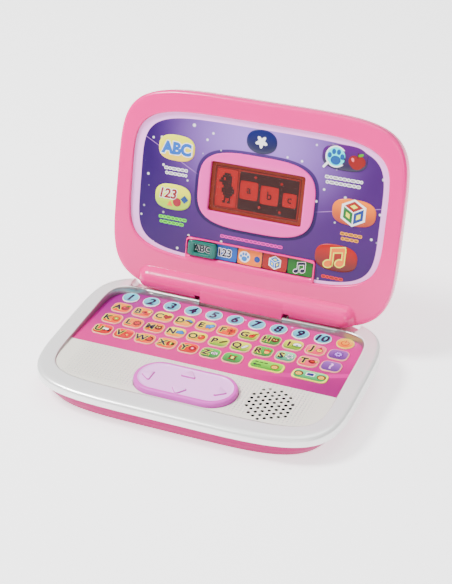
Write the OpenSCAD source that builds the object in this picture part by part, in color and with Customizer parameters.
// Toy laptop computer: clamshell with a printed membrane keyboard, a tilting
// four-way pad, a small lit screen and a sliding mode selector below it.
// +X is the player's right, +Y points to the hinge side, +Z is up, floor at Z = 0.

/* [Overall] */
// Half width of the silver frame
base_half_w = 121; // [110:1:130]
// Height of the keyboard plane above the floor
deck_z = 22; // [21:0.5:24]
// Height of the seam between the magenta shell and the silver frame
seam_z = 15; // [14:0.5:15.5]
// Wall thickness of the moulded shells
wall = 2; // [1.6:0.1:2.4]
// Opening angle of the lid as shown
lid_angle = 104.6; // [90:0.1:110]

/* [Keyboard] */
// Distance between neighbouring keys in a row
key_pitch = 18; // [16:0.5:18.5]
// Distance between key rows
row_pitch = 16.74; // [15:0.1:17]
// Diameter of the round number keys
number_key_d = 13.9; // [11:0.1:14.5]
// Height of the embossed keys above the sheet
key_emboss = 0.4; // [0.2:0.1:0.8]

/* [Four-way pad] */
// Half length of the pad
pad_half_l = 40; // [36:0.5:41]
// Half width of the pad
pad_half_w = 19.2; // [17:0.1:19.4]
// Height of the pad above the deck
pad_rise = 4; // [3:0.5:5]
// Gap between the pad and its opening
pad_gap = 0.5; // [0.4:0.1:0.8]

/* [Loudspeaker] */
// Centre of the loudspeaker from the middle of the deck
speaker_x = 65; // [60:1:68]
// Diameter of the sound holes
hole_d = 2.7; // [2:0.1:3]

/* [Lid] */
// Half width of the lid
lid_half_w = 117.5; // [112:0.5:119]
// Thickness of the flat part of the lid
lid_t = 16; // [15:0.5:17]
// Outer radius of the hinge barrel
barrel_r = 10; // [9.6:0.1:10]
// Half width of the hinge tab in the middle
tab_half_w = 34.5; // [30:0.5:35]

/* [Screen] */
// Half width of the visible screen
lcd_half_w = 38.8; // [34:0.2:40]
// Half height of the visible screen
lcd_half_h = 19.9; // [16:0.1:21]

/* [Mode selector] */
// Width of one selector position
cell_w = 20.4; // [19:0.1:20.8]
// Width of the sliding knob
knob_w = 24; // [20:0.5:24.5]
// Height of the sliding knob
knob_h = 12.4; // [11:0.1:12.6]

/* [Hidden] */
$fn = 48;
eps = 0.01;
// stations round every outline
m = 120;

// placement of the key grid in the assembly
y_shift = 31.07;

// frame
base_cy = -52;
base_half_l = 82;
base_n = 4.6;
deck_half_w = 107;
deck_cy = -54;
deck_half_l = 63;
deck_n = 6;
deck_n_rear = 9;
deck_split_y = -69;
deck_plate_t = 2;
flange_z = deck_z - 3.6;
rim_slope = 0.05;
rim_front_y = -117;
rim_rise = 0.5;
rim_level_y = 2;
lip_top_z = deck_z + 4.7;

// hinge
hinge_y = 21;
hinge_z = deck_z + 9.8;
trough_r = 10.6;
trough_half_w = 95;
notch_r = 13.5;
tab_gap = 0.5;
ear_x = 35.6;
ear_t = 3.6;
ear_r = 5;
ear_gap = 0.45;
neck_angle = -40;
neck_half_w = 2.5;
pin_d = 4;
pin_fit = 0.05;
pin_len = 7.6;

// bottom shell
floor_z = 1;
shell_half_w = 120;
shell_floor_half_w = 110;

// main board
board_z = 8;
board_x = [40, 82];
board_y = [-48, -2];

// four-way pad
pad_y = -96.3;
pivot_z = 16.5;
pivot_d = 3.5;

// loudspeaker
speaker_y = -96.5;
hole_step_x = 4.35;
hole_step_y = 5;

// battery bay
bay_half_w = 29.6;
bay_y0 = -51.6;
bay_y1 = -3.4;
door_screw_y = bay_y0 - 4.5;
door_boss_z = 5.1;
cell_d = 14.2;
cell_len = 49;

// lid, measured along the lid from the hinge axis
lid_v0 = -10;
lid_v1 = 154.8;
lid_cv = (lid_v0 + lid_v1) / 2;
lid_half_v = (lid_v1 - lid_v0) / 2;
lid_n = 5;
bezel_w = 2.2;
lid_back_w = bezel_w - lid_t;
lid_seam_w = -4.5;
panel_w = -0.34;
panel_t = 2;
panel_half_w = 105;
panel_half_v = 58.5;
panel_cv = 80.3;
panel_n = 4.8;
lcd_cv = 83.5;
strip_cv = 31.9;
strip_half_v = 6.7;
strip_half_w = 52.6;
strip_rim = 1.3;
knob_x0 = -39.4;

top_frame();
bottom_shell();
palm_rest();
keyboard_overlay();
membrane_circuit();
keyboard_plate();
main_board();
board_chips();
speaker();
pad_board();
pad_domes();
rocker_pivot();
rocker_pad();
batteries();
battery_contacts();
battery_door();
door_screw();
feet();
case_screws();
hinge_pins();
lid_back();
lid_bezel();
lid_panel();
lcd_frame();
lcd_window();
lcd_glass();
lcd_backlight();
lid_board();
hinge_ribbon();
selector_label();
selector_knob();
selector_contact();
lid_screws();

// ---- shared shapes ----

// squared oval outline, counter-clockwise; its far half can be squarer
function oval(a, b, n, cy, n_far = 0) = [for (i = [0:m - 1]) let (c = cos(360 * i / m), s = sin(360 * i / m),
    k = s > 0 && n_far > 0 ? n_far : n) [a * sign(c) * pow(abs(c), 2 / k), cy + b * sign(s) * pow(abs(s), 2 / k)]];
function ring(pts, z) = [for (p = pts) [p[0], p[1], z]];
function crest(y) = deck_z + rim_rise + rim_slope * (min(y, rim_level_y) - rim_front_y);

// solid through a stack of outlines, lowest first
module loft(rings) {
    k = len(rings);
    sides = [for (j = [0:k - 2]) for (i = [0:m - 1]) for (f = [0, 1])
        f == 0 ? [j * m + i, (j + 1) * m + i, (j + 1) * m + (i + 1) % m]
               : [j * m + i, (j + 1) * m + (i + 1) % m, j * m + (i + 1) % m]];
    polyhedron(points = [for (r = rings) for (p = r) p],
        faces = concat([[for (i = [0:m - 1]) i]], [[for (i = [m - 1:-1:0]) (k - 1) * m + i]], sides));
}

// closed band that runs once round the base
module band(profile, outer, inner) {
    k = len(profile);
    pts = [for (i = [0:m - 1]) for (q = profile) let (p = outer[i] * (1 - q[0]) + inner[i] * q[0])
        [p[0], p[1], q[1] == 1 ? crest(p[1]) + q[2] : q[2]]];
    faces = [for (i = [0:m - 1]) for (j = [0:k - 1]) for (f = [0, 1])
        let (i1 = (i + 1) % m, j1 = (j + 1) % k)
        f == 0 ? [i * k + j, i * k + j1, i1 * k + j1] : [i * k + j, i1 * k + j1, i1 * k + j]];
    polyhedron(points = pts, faces = faces);
}

module oval_prism(a, b, n, cy, z0, z1, n_far = 0) {
    translate([0, 0, z0]) linear_extrude(z1 - z0) polygon(oval(a, b, n, cy, n_far));
}

module box(x0, x1, y0, y1, z0, z1) {
    translate([x0, y0, z0]) cube([x1 - x0, y1 - y0, z1 - z0]);
}

// rounded rectangle plate
module round_plate(w, h, r, z0, z1) {
    translate([0, 0, z0]) linear_extrude(z1 - z0) union() {
        square([w - 2 * r, h], center = true);
        square([w, h - 2 * r], center = true);
        for (sx = [-1, 1]) for (sy = [-1, 1]) translate([sx * (w / 2 - r), sy * (h / 2 - r)]) circle(r);
    }
}

// stadium along X
module stadium(half_l, half_w, z0, z1) {
    translate([0, 0, z0]) linear_extrude(z1 - z0) union() {
        square([2 * (half_l - half_w), 2 * half_w], center = true);
        for (s = [-1, 1]) translate([s * (half_l - half_w), 0]) circle(half_w);
    }
}

// cylinder along X between two stations
module x_cyl(r, x0, x1) {
    translate([x0, 0, 0]) rotate([0, 90, 0]) cylinder(r = r, h = x1 - x0);
}

// many-sided trough along X, centred between its stations
module x_trough(r, half_l) {
    sides = 60;
    translate([-half_l, 0, 0]) rotate([90, 0, 90]) linear_extrude(2 * half_l)
        polygon([for (i = [0:sides - 1]) r * [cos(360 * (i + 0.5) / sides), sin(360 * (i + 0.5) / sides)]]);
}

module y_cyl(r, y0, y1) {
    translate([0, y0, 0]) rotate([-90, 0, 0]) cylinder(r = r, h = y1 - y0);
}

// base parts are drawn from the middle of the number row
module in_base() {
    translate([0, y_shift, 0]) children();
}

module at_hinge() {
    translate([0, hinge_y, hinge_z]) children();
}

// lid parts are drawn with Y along the lid and Z out of its face
module in_lid() {
    in_base() at_hinge() rotate([180 - lid_angle, 0, 0]) children();
}

// ---- base ----

frame_outer = oval(base_half_w, base_half_l, base_n, base_cy);
frame_inner = oval(deck_half_w, deck_half_l, deck_n, deck_cy, deck_n_rear);
frame_profile = [[0, 0, seam_z], [0, 1, -3.4], [0.03, 1, -2.1], [0.1, 1, -1.1], [0.22, 1, -0.4],
    [0.45, 1, 0], [0.8, 1, 0], [0.93, 1, -0.2], [0.99, 1, -0.6], [1, 1, -1.2],
    [1, 0, deck_z - deck_plate_t], [0.87, 0, deck_z - deck_plate_t], [0.8, 1, -2.6], [0.24, 1, -3],
    [0.16, 1, -4.6], [0.15, 0, seam_z]];

module top_frame() {
    color([0.93, 0.93, 0.92]) in_base() {
        difference() {
            union() {
                band(frame_profile, frame_outer, frame_inner);
                intersection() {
                    oval_prism(base_half_w - 1, base_half_l - 1, base_n, base_cy, seam_z + 0.4, deck_z + 3.5);
                    at_hinge() union() {
                        x_trough(trough_r + wall, trough_half_w + 1.5);
                        x_trough(notch_r + wall, tab_half_w + tab_gap + wall);
                    }
                }
            }
            at_hinge() x_trough(trough_r, trough_half_w);
            at_hinge() x_trough(notch_r, tab_half_w + tab_gap);
            box(-tab_half_w - tab_gap, tab_half_w + tab_gap, 7, hinge_y, deck_z + 0.2, deck_z + 12);
            box(-trough_half_w, trough_half_w, 7, hinge_y + 14, lip_top_z, deck_z + 12);
        }
        for (s = [-1, 1]) hinge_ear(s);
    }
}

module hinge_ear(s) {
    x0 = s > 0 ? ear_x : -ear_x - ear_t;
    at_hinge() translate([x0, 0, 0]) rotate([90, 0, 90]) linear_extrude(ear_t) difference() {
        union() {
            circle(ear_r);
            rotate(neck_angle) translate([0, -neck_half_w]) square([trough_r + 0.6, 2 * neck_half_w]);
        }
        circle(pin_d / 2 + pin_fit);
    }
}

screw_xy = [[-98, -100], [98, -100], [-98, -60], [98, -60], [-92, -6], [92, -6], [-36, -62], [36, -62]];

module bottom_shell() {
    color([0.88, 0.1, 0.5]) in_base() {
        difference() {
            loft([ring(oval(shell_floor_half_w - 3, 71.5, base_n, -52.5), floor_z),
                ring(oval(shell_floor_half_w, 74.5, base_n, -52.5), floor_z + 1),
                ring(oval(shell_floor_half_w + 4.8, 77.6, base_n, -52.4), 8),
                ring(oval(shell_half_w, 80.3, base_n, -52.2), seam_z)]);
            loft([ring(oval(shell_floor_half_w - wall - 2, 72, base_n, -52.5), floor_z + wall),
                ring(oval(shell_floor_half_w + 4.8 - wall, 75.6, base_n, -52.4), 8),
                ring(oval(shell_half_w - wall, 78.3, base_n, -52.2), seam_z + eps)]);
            box(-bay_half_w + 1.4, bay_half_w - 1.4, bay_y0 + 1.4, bay_y1 - 1.4, 0, floor_z + wall + 1);
            translate([0, door_screw_y, 0]) cylinder(d = 12.4, h = floor_z + wall + 1);
            box(-6.2, 6.2, door_screw_y, bay_y0 + 3, 0, floor_z + wall + 1);
            for (p = screw_xy) translate([p[0], p[1], 0]) cylinder(d = 6.4, h = floor_z + wall + 1);
        }
        difference() {
            box(-bay_half_w, bay_half_w, bay_y0, bay_y1, floor_z + wall, 17.8);
            box(-6.2, 6.2, door_screw_y, bay_y0 + 3, 0, door_boss_z - 0.1);
            box(-bay_half_w + 1.4, bay_half_w - 1.4, bay_y0 + 1.4, bay_y1 - 1.4, 0, 20);
        }
        translate([0, door_screw_y, door_boss_z]) difference() {
            union() {
                cylinder(d = 9, h = 7);
                box(-1.5, 1.5, 3, 5.5, 0, 7);
            }
            translate([0, 0, -1]) cylinder(d = 2.9, h = 20);
        }
        for (x = board_x) for (y = board_y) translate([x, y, floor_z + 1]) {
            cylinder(d = 5, h = board_z - floor_z - 1);
            cylinder(d = 2.8, h = board_z - floor_z + 1.4);
        }
        for (p = screw_xy) translate([p[0], p[1], 0]) difference() {
            cylinder(d = 9, h = seam_z - 3);
            translate([0, 0, -1]) cylinder(d = 6.4, h = 5);
            translate([0, 0, -1]) cylinder(d = 3, h = 20);
            translate([0, 0, -1]) cylinder(d = 12, h = 1 + floor_z + 0.2);
        }
    }
}

module case_screws() {
    color([0.7, 0.7, 0.72]) in_base() for (p = screw_xy) translate([p[0], p[1], 0]) screw(4, 18);
}

// pan head below, shank upwards
module screw(z0, z1) {
    difference() {
        union() {
            translate([0, 0, z0 - 2]) cylinder(d = 5.2, h = 2);
            translate([0, 0, z0 - eps]) cylinder(d = 2.6, h = z1 - z0);
        }
        for (a = [0, 90]) rotate([0, 0, a]) box(-1.6, 1.6, -0.4, 0.4, z0 - 3, z0 - 1);
    }
}

// plate under the frame lip with screw posts
module deck_part(y0, y1, z1) {
    difference() {
        union() {
            intersection() {
                oval_prism(deck_half_w + 1.7, deck_half_l + 1.7, deck_n, deck_cy, flange_z,
                    deck_z - deck_plate_t, deck_n_rear);
                box(-130, 130, y0, y1, 0, 40);
            }
            intersection() {
                oval_prism(deck_half_w - 0.1, deck_half_l - 0.1, deck_n, deck_cy, flange_z, z1,
                    deck_n_rear);
                box(-130, 130, y0, y1, 0, 40);
            }
            for (p = screw_xy) if (p[1] > y0 && p[1] < y1)
                translate([p[0], p[1], seam_z - 3]) cylinder(d = 8, h = flange_z - seam_z + 3 + eps);
        }
        for (p = screw_xy) if (p[1] > y0 && p[1] < y1)
            translate([p[0], p[1], 0]) cylinder(d = 2.7, h = flange_z + 0.6);
    }
}

module palm_rest() {
    color([0.9, 0.9, 0.9]) in_base() {
        difference() {
            deck_part(-140, deck_split_y - 0.1, deck_z);
            translate([0, pad_y, 0]) stadium(pad_half_l + pad_gap, pad_half_w + pad_gap, 0, 40);
            translate([speaker_x, speaker_y, 0]) sound_holes();
            translate([speaker_x, speaker_y, 0]) cylinder(d = 41, h = deck_z - deck_plate_t);
        }
        translate([speaker_x, speaker_y, 14]) difference() {
            cylinder(r = 22, h = flange_z - 14 + eps);
            translate([0, 0, -1]) cylinder(r = 20.5, h = 10);
        }
        pad_bridge();
    }
}

// columns of holes in a honeycomb pattern inside a circle
module sound_holes() {
    counts = [4, 7, 8, 8, 8, 7, 6, 4];
    for (i = [0:7]) for (j = [0:counts[i] - 1]) {
        phase = i % 2 == 0 ? 0 : hole_step_y / 2;
        y = (j - (counts[i] - 1) / 2) * hole_step_y;
        y_grid = floor((y - phase) / hole_step_y + 0.5) * hole_step_y + phase;
        translate([(i - 3.5) * hole_step_x, y_grid, 0]) cylinder(d = hole_d, h = 40, $fn = 24);
    }
}

// bar under the pad opening that carries the gimbal
module pad_bridge() {
    bar_z = 10.4;
    translate([0, pad_y, 0]) {
        box(-44.5, 44.5, -4, 4, bar_z, bar_z + 2);
        for (s = [-1, 1]) {
            box(s > 0 ? 42.5 : -44.5, s > 0 ? 44.5 : -42.5, -4, 4, bar_z, flange_z + eps);
            difference() {
                box(s > 0 ? 6.5 : -8.5, s > 0 ? 8.5 : -6.5, -3.4, 3.4, bar_z + 1, 18.6);
                translate([0, 0, pivot_z]) x_cyl(pivot_d / 2 + pin_fit, -20, 20);
            }
        }
    }
}

module key_grid() {
    for (i = [-5:5]) translate([i * key_pitch, 0]) circle(d = number_key_d);
    for (r = [1, 2, 3]) for (i = [-5:r == 3 ? 1 : 5])
        translate([i * key_pitch, -r * row_pitch]) key_2d(15.8, 13.2, 4.6);
    translate([45.4, -50.2]) key_2d(27.2, 11.4, 4);
    translate([79.5, -50.6]) key_2d(27.3, 11.4, 4);
}

module key_2d(w, h, r) {
    square([w - 2 * r, h], center = true);
    square([w, h - 2 * r], center = true);
    for (sx = [-1, 1]) for (sy = [-1, 1]) translate([sx * (w / 2 - r), sy * (h / 2 - r)]) circle(r, $fn = 24);
}

module deck_sheet(z0, z1, gap) {
    intersection() {
        oval_prism(deck_half_w - gap, deck_half_l - gap, deck_n, deck_cy, z0, z1, deck_n_rear);
        box(-130, 130, deck_split_y, 20, 0, 40);
    }
}

module keyboard_overlay() {
    color([0.9, 0.3, 0.6]) in_base() {
        deck_sheet(deck_z - 0.6, deck_z, 0.1);
        translate([0, 0, deck_z - eps]) linear_extrude(key_emboss) key_grid();
    }
}

module membrane_circuit() {
    color([0.75, 0.8, 0.75]) in_base() deck_sheet(deck_z - deck_plate_t, deck_z - 0.6, 0.4);
}

module keyboard_plate() {
    color([0.85, 0.85, 0.85]) in_base() deck_part(deck_split_y, 40, deck_z - deck_plate_t);
}

module main_board() {
    color([0.1, 0.4, 0.2]) in_base() difference() {
        box(board_x[0] - 4, board_x[1] + 4, board_y[0] - 4, board_y[1] + 4, board_z, board_z + 1.6);
        for (x = board_x) for (y = board_y) translate([x, y, 0]) cylinder(d = 3, h = 20);
    }
}

module board_chips() {
    color([0.15, 0.15, 0.17]) in_base() {
        box(50, 66, -36, -20, 9.6, 11.4);
        box(70, 78, -40, -32, 9.6, 11);
        translate([45, -10, 9.6]) cylinder(d = 6, h = 7);
        translate([56, -8, 9.6]) cylinder(d = 5, h = 6);
        box(60, 76, -12, -6, 9.6, 14);
    }
}

module speaker() {
    color([0.2, 0.2, 0.22]) in_base() translate([speaker_x, speaker_y, 0]) rotate_extrude()
        polygon([[0, 8], [11, 8], [11, 13], [14, 13], [18, 17.6], [20, 17.6], [20, 19.8], [17.4, 19.8],
            [16.8, 18.6], [8, 15.4], [5, 16.8], [0, 17.4]]);
}

module pad_board() {
    color([0.1, 0.4, 0.2]) in_base() translate([0, pad_y, 0]) difference() {
        box(-36, 36, -15.5, 15.5, 12.4, 13.6);
        box(-10, 10, -10, 10, 12, 14);
    }
}

dome_xy = [[-29, 0], [29, 0], [0, 12.6], [0, -12.6]];

module pad_domes() {
    color([0.85, 0.85, 0.8]) in_base() for (p = dome_xy)
        translate([p[0], pad_y + p[1], 13.6]) cylinder(d1 = 5.2, d2 = 4, h = 2);
}

module rocker_pivot() {
    color([0.3, 0.3, 0.32]) in_base() translate([0, pad_y, pivot_z]) {
        x_cyl(pivot_d / 2, -9.2, 9.2);
        y_cyl(pivot_d / 2, -9.2, 9.2);
    }
}

module rocker_pad() {
    color([0.9, 0.8, 0.9]) in_base() translate([0, pad_y, 0]) {
        difference() {
            union() {
                stadium(pad_half_l, pad_half_w, flange_z, deck_z + pad_rise - 1.5);
                stadium(pad_half_l - 0.5, pad_half_w - 0.5, deck_z, deck_z + pad_rise - 0.7);
                stadium(pad_half_l - 1.5, pad_half_w - 1.5, deck_z, deck_z + pad_rise);
            }
            stadium(pad_half_l - 4.5, pad_half_w - 4.5, deck_z + pad_rise - 0.7, deck_z + pad_rise + 1);
            stadium(pad_half_l - wall, pad_half_w - wall, flange_z - 1, deck_z + 1);
        }
        for (s = [-1, 1]) difference() {
            box(-3, 3, s > 0 ? 6.5 : -8.5, s > 0 ? 8.5 : -6.5, 14.4, deck_z + 1 + eps);
            translate([0, 0, pivot_z]) y_cyl(pivot_d / 2 + pin_fit, -20, 20);
        }
        for (p = dome_xy) translate([p[0], p[1], 17.4]) cylinder(d = 4, h = deck_z - 17.4 + 1 + eps);
        arrow(-30, -1.5, 180);
        arrow(29, -2, 0);
        arrow(-1, 10.3, 90);
        arrow(-1, -11.8, 270);
    }
}

// raised pointer with its tip along +X before turning
module arrow(x, y, a) {
    translate([x, y, deck_z + pad_rise - 0.7 - eps]) rotate([0, 0, a]) linear_extrude(1.3)
        polygon([[4.2, 0], [3.2, 1.2], [-2.6, 5.6], [-4, 5.2], [-4, -5.2], [-2.6, -5.6], [3.2, -1.2]]);
}

cell_y = [-42.3, -27.5, -12.7];

module batteries() {
    color([0.2, 0.2, 0.22]) in_base() for (i = [0:2]) {
        translate([0, cell_y[i], 10.3]) rotate([0, 0, i % 2 == 0 ? 0 : 180]) {
            x_cyl(cell_d / 2, -cell_len / 2, cell_len / 2);
            x_cyl(2.7, cell_len / 2 - eps, cell_len / 2 + 1);
        }
    }
}

module battery_contacts() {
    color([0.75, 0.75, 0.75]) in_base() for (i = [0:2]) for (s = [-1, 1]) {
        translate([0, cell_y[i], 10.3]) box(s > 0 ? 27.6 : -28, s > 0 ? 28 : -27.6, -5, 5, -5, 5);
        spring_side = i % 2 == 0 ? -1 : 1;
        if (s == spring_side) translate([0, cell_y[i], 10.3])
            x_cyl(3, s > 0 ? cell_len / 2 + 0.1 : -27.6 - eps, s > 0 ? 27.6 + eps : -cell_len / 2 - 0.1);
    }
}

module battery_door() {
    color([0.88, 0.1, 0.5]) in_base() difference() {
        union() {
            box(-bay_half_w + 1.7, bay_half_w - 1.7, bay_y0 + 1.7, bay_y1 - 1.7, floor_z, floor_z + 1.8);
            translate([0, door_screw_y, floor_z]) cylinder(d = 12, h = door_boss_z - 0.1 - floor_z);
            box(-6, 6, door_screw_y, bay_y0 + 2.8, floor_z, floor_z + 1.8);
        }
        translate([0, door_screw_y, 0]) cylinder(d = 3, h = 10);
        translate([0, door_screw_y, 0]) cylinder(d = 6, h = 3.4);
        for (i = [-4:4]) box(-20, 20, bay_y1 - 16 + i * 2.4, bay_y1 - 15 + i * 2.4, 0, floor_z + 0.4);
    }
}

module door_screw() {
    color([0.7, 0.7, 0.72]) in_base() translate([0, door_screw_y, 0]) screw(3.4, 11);
}

module feet() {
    color([0.3, 0.3, 0.3]) in_base() for (x = [-80, 80]) for (y = [-112, 6])
        translate([x, y, 0]) cylinder(d1 = 11, d2 = 13, h = floor_z);
}

module hinge_pins() {
    color([0.75, 0.75, 0.78]) in_base() at_hinge() for (s = [-1, 1])
        x_cyl(pin_d / 2, s > 0 ? 33.6 : -33.6 - pin_len, s > 0 ? 33.6 + pin_len : -33.6);
}

// ---- lid ----

function lid_oval(inset) = oval(lid_half_w - inset, lid_half_v - inset, lid_n, lid_cv);

// side profile of the rear half, rounded about the hinge axis
module lid_profile(inset) {
    translate([-140, 0, 0]) rotate([90, 0, 90]) linear_extrude(280) hull() {
        circle(barrel_r - inset);
        translate([16, lid_back_w + inset]) square([170, -lid_back_w - inset]);
    }
}

// body of revolution along X with rounded ends
module barrel(r, half_l, round_l) {
    arc = [for (a = [0:10:90]) [r * sin(a), half_l - round_l + round_l * cos(a)]];
    rotate([0, 90, 0]) rotate_extrude() polygon(concat([[0, -half_l]], [for (p = arc) if (p[0] > 0) [p[0], -p[1]]],
        [for (i = [len(arc) - 1:-1:1]) arc[i]], [[0, half_l]]));
}

lid_screw_xv = [[-111, 48], [111, 48], [-111, 96], [111, 96], [-60, 147], [60, 147]];

module lid_back() {
    color([0.92, 0.5, 0.7]) in_lid() {
        difference() {
            intersection() {
                loft([ring(lid_oval(7), lid_back_w), ring(lid_oval(3.4), lid_back_w + 0.8),
                    ring(lid_oval(1.2), lid_back_w + 2.6), ring(lid_oval(0.3), lid_back_w + 5),
                    ring(lid_oval(0), lid_seam_w)]);
                lid_profile(0);
            }
            intersection() {
                loft([ring(lid_oval(7), lid_back_w + wall), ring(lid_oval(3), lid_back_w + wall + 2),
                    ring(lid_oval(wall), lid_seam_w + eps)]);
                lid_profile(wall);
            }
            ear_slots();
            for (p = lid_screw_xv) translate([p[0], p[1], lid_back_w - 1]) cylinder(d = 6, h = 5);
        }
        for (p = lid_screw_xv) translate([p[0], p[1], 0]) difference() {
            translate([0, 0, lid_back_w + 1]) cylinder(d = 8.2, h = lid_seam_w - lid_back_w - 1);
            translate([0, 0, lid_back_w]) cylinder(d = 2.9, h = 20);
            translate([0, 0, lid_back_w]) cylinder(d = 6, h = 2.2);
        }
        hinge_ribs(-20, lid_seam_w);
    }
}

// clearance for the frame's hinge ears through the whole swing
module ear_slots() {
    first = 120;
    last = 276;
    steps = 26;
    for (s = [-1, 1]) {
        x0 = s > 0 ? ear_x - ear_gap : -ear_x - ear_t - ear_gap;
        translate([x0, 0, 0]) rotate([90, 0, 90]) linear_extrude(ear_t + 2 * ear_gap) polygon(concat([[0, 0]],
            [for (i = [0:steps]) let (a = first + (last - first) * i / steps) 30 * [cos(a), sin(a)]]));
    }
}

// ribs inside the barrel that turn on the pins, kept between two heights
module hinge_ribs(w0, w1) {
    for (s = [-1, 1]) for (x = [33.7, 40.1]) intersection() {
        difference() {
            x_cyl(barrel_r - 1, s > 0 ? x : -x - 1.2, s > 0 ? x + 1.2 : -x);
            x_cyl(pin_d / 2 + pin_fit, -60, 60);
        }
        box(-60, 60, -20, 20, w0, w1);
    }
}

module lid_bezel() {
    color([0.93, 0.55, 0.72]) in_lid() {
        difference() {
            union() {
                difference() {
                    loft([ring(lid_oval(0), lid_seam_w), ring(lid_oval(0), -0.6), ring(lid_oval(0.5), 0.8),
                        ring(lid_oval(1.4), 1.7), ring(lid_oval(3), bezel_w)]);
                    loft([ring(lid_oval(wall), lid_seam_w - eps), ring(lid_oval(wall), -0.6),
                        ring(lid_oval(wall + 1), bezel_w - wall)]);
                }
                oval_prism(panel_half_w + 2, panel_half_v + 2, panel_n, panel_cv, panel_w - panel_t, bezel_w - 1);
                intersection() {
                    barrel(barrel_r, 91, 8);
                    oval_prism(lid_half_w, lid_half_v, lid_n, lid_cv, lid_seam_w, 20);
                }
                hinge_tab();
            }
            difference() {
                union() {
                    barrel(barrel_r - wall, 88, 7);
                    box(-86, 86, -7.6, 8, -20, 0.2);
                }
                box(-120, 120, -20, 40, -30, lid_seam_w);
            }
            difference() {
                oval_prism(panel_half_w, panel_half_v, panel_n, panel_cv, -10, 10);
                strip_block(0);
            }
            translate([0, strip_cv, 0]) round_plate(2 * strip_half_w, 2 * strip_half_v, 2, -10, 10);
            under_round();
            ear_slots();
        }
        for (p = lid_screw_xv) translate([p[0], p[1], lid_seam_w]) difference() {
            cylinder(d = 6.4, h = bezel_w - wall - lid_seam_w + 0.2);
            translate([0, 0, -1]) cylinder(d = 2.7, h = 5);
        }
        hinge_ribs(lid_seam_w, 20);
    }
}

// what lies outside the barrel's circle below the hinge axis
module under_round() {
    difference() {
        box(-140, 140, -20, 0, -20, 0);
        x_cyl(barrel_r, -141, 141);
    }
}

// raised chin that carries the selector channel
module strip_block(gap) {
    box(-strip_half_w - strip_rim - gap, strip_half_w + strip_rim + gap, 10,
        strip_cv + strip_half_v + strip_rim + gap, panel_w - panel_t - gap, 1.4 + gap);
}

// tongue that reaches down in front of the deck edge
module hinge_tab() {
    difference() {
        translate([-tab_half_w, 0, 0]) rotate([90, 0, 90]) linear_extrude(2 * tab_half_w)
            polygon([[-3, 7], [3, 9.5], [0, 10], [-8.8, 9.6], [-9.4, 9.0], [-9.2, 2], [-8.2, 0]]);
        x_cyl(barrel_r - wall, -40, 40);
    }
}

module lid_panel() {
    color([0.45, 0.35, 0.6]) in_lid() difference() {
        union() {
            oval_prism(panel_half_w - 0.15, panel_half_v - 0.15, panel_n, panel_cv, panel_w - panel_t, panel_w);
            oval_prism(panel_half_w + 2, panel_half_v + 2, panel_n, panel_cv, lid_seam_w + 0.1, panel_w - panel_t);
        }
        strip_block(0.15);
        box(-strip_half_w - 2, strip_half_w + 2, 10, strip_cv + strip_half_v + 2, -10, panel_w - panel_t + eps);
        translate([0, lcd_cv, 0]) round_plate(2 * lcd_half_w + 4.8, 2 * lcd_half_h + 4.8, 3, -10, 10);
    }
}

module lcd_frame() {
    color([0.93, 0.6, 0.75]) in_lid() difference() {
        union() {
            oval_prism(48, 30.2, 3.4, 82.5, panel_w, 0.2);
            oval_prism(47.2, 29.4, 3.4, 82.5, 0.2 - eps, 0.6);
            translate([0, lcd_cv, 0])
                round_plate(2 * lcd_half_w + 4, 2 * lcd_half_h + 4, 3, panel_w - panel_t, panel_w + eps);
        }
        translate([0, lcd_cv, 0]) round_plate(2 * lcd_half_w, 2 * lcd_half_h, 2, -10, 10);
    }
}

module lcd_window() {
    color([0.6, 0.4, 0.3, 0.5]) in_lid() translate([0, lcd_cv, 0])
        round_plate(2 * lcd_half_w - 0.2, 2 * lcd_half_h - 0.2, 1.9, -2.2, -0.9);
}

module lcd_glass() {
    color([0.8, 0.3, 0.1]) in_lid() translate([0, lcd_cv, 0]) box(-41, 41, -22, 22, -4.4, -2.4);
}

module lcd_backlight() {
    color([0.9, 0.9, 0.9]) in_lid() translate([0, lcd_cv, 0]) box(-41, 41, -22, 22, -7.6, -4.4);
}

module lid_board() {
    color([0.1, 0.4, 0.2]) in_lid() difference() {
        box(-58, 58, 48, 116, -9.2, -7.6);
        for (x = [-53, 53]) for (v = [53, 111]) translate([x, v, 0]) cylinder(d = 3, h = 30, center = true);
    }
}

module hinge_ribbon() {
    color([0.85, 0.85, 0.85]) in_lid() union() {
        box(-9, 9, 12, 52, -9.6, -9.2);
        box(-9, 9, 11.6, 12, -9.6, -5);
        box(-9, 9, -3, 12, -5.4, -5);
    }
}

module selector_label() {
    color([0.2, 0.5, 0.7]) in_lid() difference() {
        translate([0, strip_cv, 0]) union() {
            round_plate(2 * strip_half_w - 0.3, 2 * strip_half_v - 0.3, 1.8, -2.4, -1);
            round_plate(2 * strip_half_w + 2, 2 * strip_half_v + 2, 1.8, -3.2, panel_w - panel_t);
        }
        box(-49, 49, strip_cv - 5.6, strip_cv - 4.2, -5, 5);
    }
}

module selector_knob() {
    color([0.1, 0.55, 0.5]) in_lid() translate([knob_x0, strip_cv, 0]) {
        difference() {
            union() {
                round_plate(knob_w, knob_h, 2.4, -0.7, 2.6);
                round_plate(knob_w - 1.2, knob_h - 1.2, 2, 2.6 - eps, 3.2);
            }
            round_plate(13.7, 7, 1.4, -5, 10);
        }
        box(-4, 4, -5.3, -4.5, -5, -0.7 + eps);
    }
}

module selector_contact() {
    color([0.85, 0.7, 0.4]) in_lid() translate([knob_x0, strip_cv, 0]) box(-4, 4, -5.3, 3, -5.4, -5);
}

module lid_screws() {
    color([0.7, 0.7, 0.72]) in_lid() for (p = lid_screw_xv) translate([p[0], p[1], 0])
        screw(lid_back_w + 2.2, -0.8);
}
